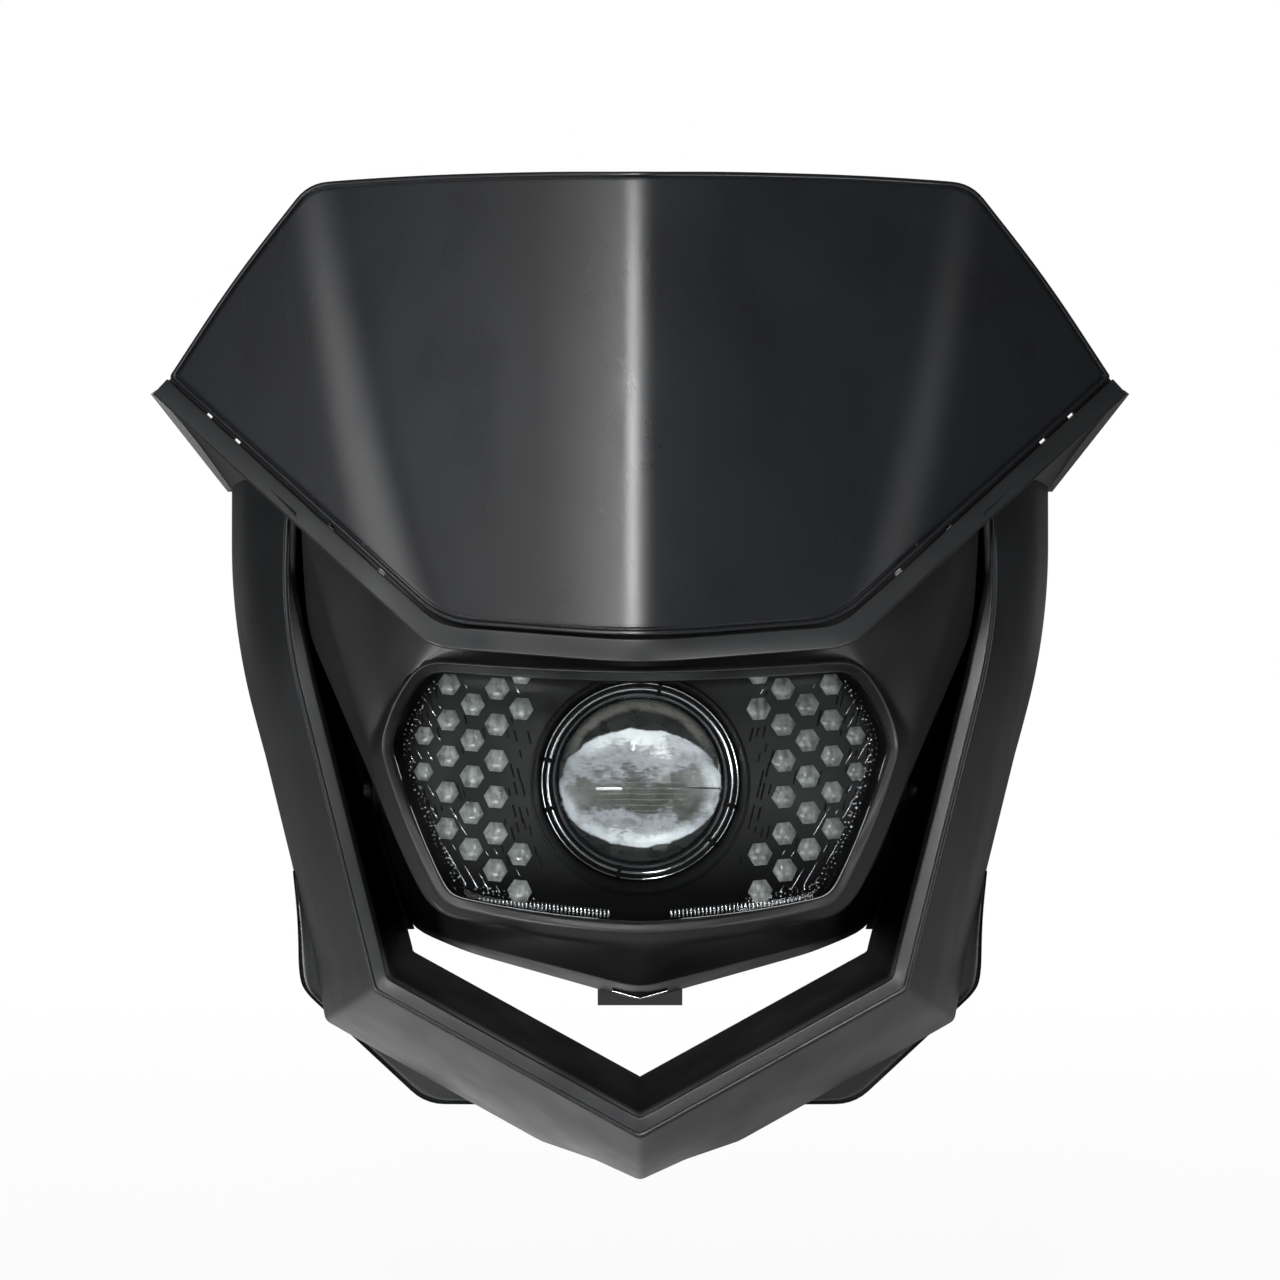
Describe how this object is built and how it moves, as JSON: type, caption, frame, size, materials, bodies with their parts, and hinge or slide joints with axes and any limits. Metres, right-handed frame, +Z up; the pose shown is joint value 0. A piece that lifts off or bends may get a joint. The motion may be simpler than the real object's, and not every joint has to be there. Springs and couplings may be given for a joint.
{
  "type": "led headlight",
  "caption": "Off-road motorcycle headlight: a plastic mask with a number plate above a lamp with a projector lens and honeycomb position lights, bolted to the fork at four holes.",
  "frame": {"origin": "centre of the four mounting holes, in the plane on which the mounting sleeves seat", "axes": "+Y to the rear along the mounting holes, +Z up, +X to the right seen from the front"},
  "size_m": [0.3056, 0.1161, 0.3018],
  "materials": {
    "mask_plastic": "satin, fine moulded grain",
    "plate_plastic": "satin, smooth",
    "shroud_plastic": "satin, fine moulded grain",
    "bracket_metal": "black coated",
    "sleeve_steel": "plated",
    "screw_steel": "dark zinc",
    "bush_plastic": "plain",
    "clear_cover": "clear polycarbonate",
    "optic_glass": "polished",
    "seal_rubber": "soft",
    "bezel_black": "gloss with fine engraved lines",
    "diffuser_milk": "milky, prismatic",
    "board_green": "solder mask",
    "board_white": "white solder mask",
    "chip_yellow": "phosphor",
    "ring_dark": "dark with bright edges",
    "barrel_metal": "black anodised",
    "bowl_mirror": "vapour coated",
    "shutter_steel": "dark",
    "sink_aluminium": "cast",
    "housing_black": "moulded",
    "vent_rubber": "soft",
    "socket_plastic": "moulded"
  },
  "bodies": {
    "mask": {"number_plate": "plate_plastic", "plate_screws": "screw_steel", "mask_frame": "mask_plastic", "lamp_shroud": "shroud_plastic", "shroud_screws": "screw_steel", "bracket_left": "bracket_metal", "bracket_right": "bracket_metal", "bracket_screws": "screw_steel", "bracket_sleeves": "sleeve_steel", "pivot_bush_left": "bush_plastic", "pivot_bush_right": "bush_plastic", "aim_screw": "screw_steel", "aim_washer": "sleeve_steel"},
    "lamp": {"pivot_screw_left": "screw_steel", "pivot_screw_right": "screw_steel", "outer_lens": "clear_cover", "lens_gasket": "seal_rubber", "inner_bezel": "bezel_black", "hex_diffuser_left": "diffuser_milk", "hex_diffuser_right": "diffuser_milk", "position_board_left": "board_green", "position_board_right": "board_green", "position_lights": "chip_yellow", "projector_lens": "optic_glass", "lens_ring": "ring_dark", "lens_barrel": "barrel_metal", "reflector_bowl": "bowl_mirror", "cutoff_shutter": "shutter_steel", "emitter_board": "board_white", "light_emitter": "chip_yellow", "heat_sink": "sink_aluminium", "heat_sink_screws": "screw_steel", "projector_screws": "screw_steel", "rear_housing": "housing_black", "driver_board": "board_green", "driver_cover": "housing_black", "cover_screws": "screw_steel", "breather_vent": "vent_rubber", "connector_socket": "socket_plastic"}
  },
  "joints": [
    {"name": "beam_tilt", "type": "hinge", "parent": "mask", "child": "lamp", "pos_m": [0, -0.066, -0.045], "axis": [1, 0, 0], "range_deg": [-2.5, 2.5]}
  ]
}
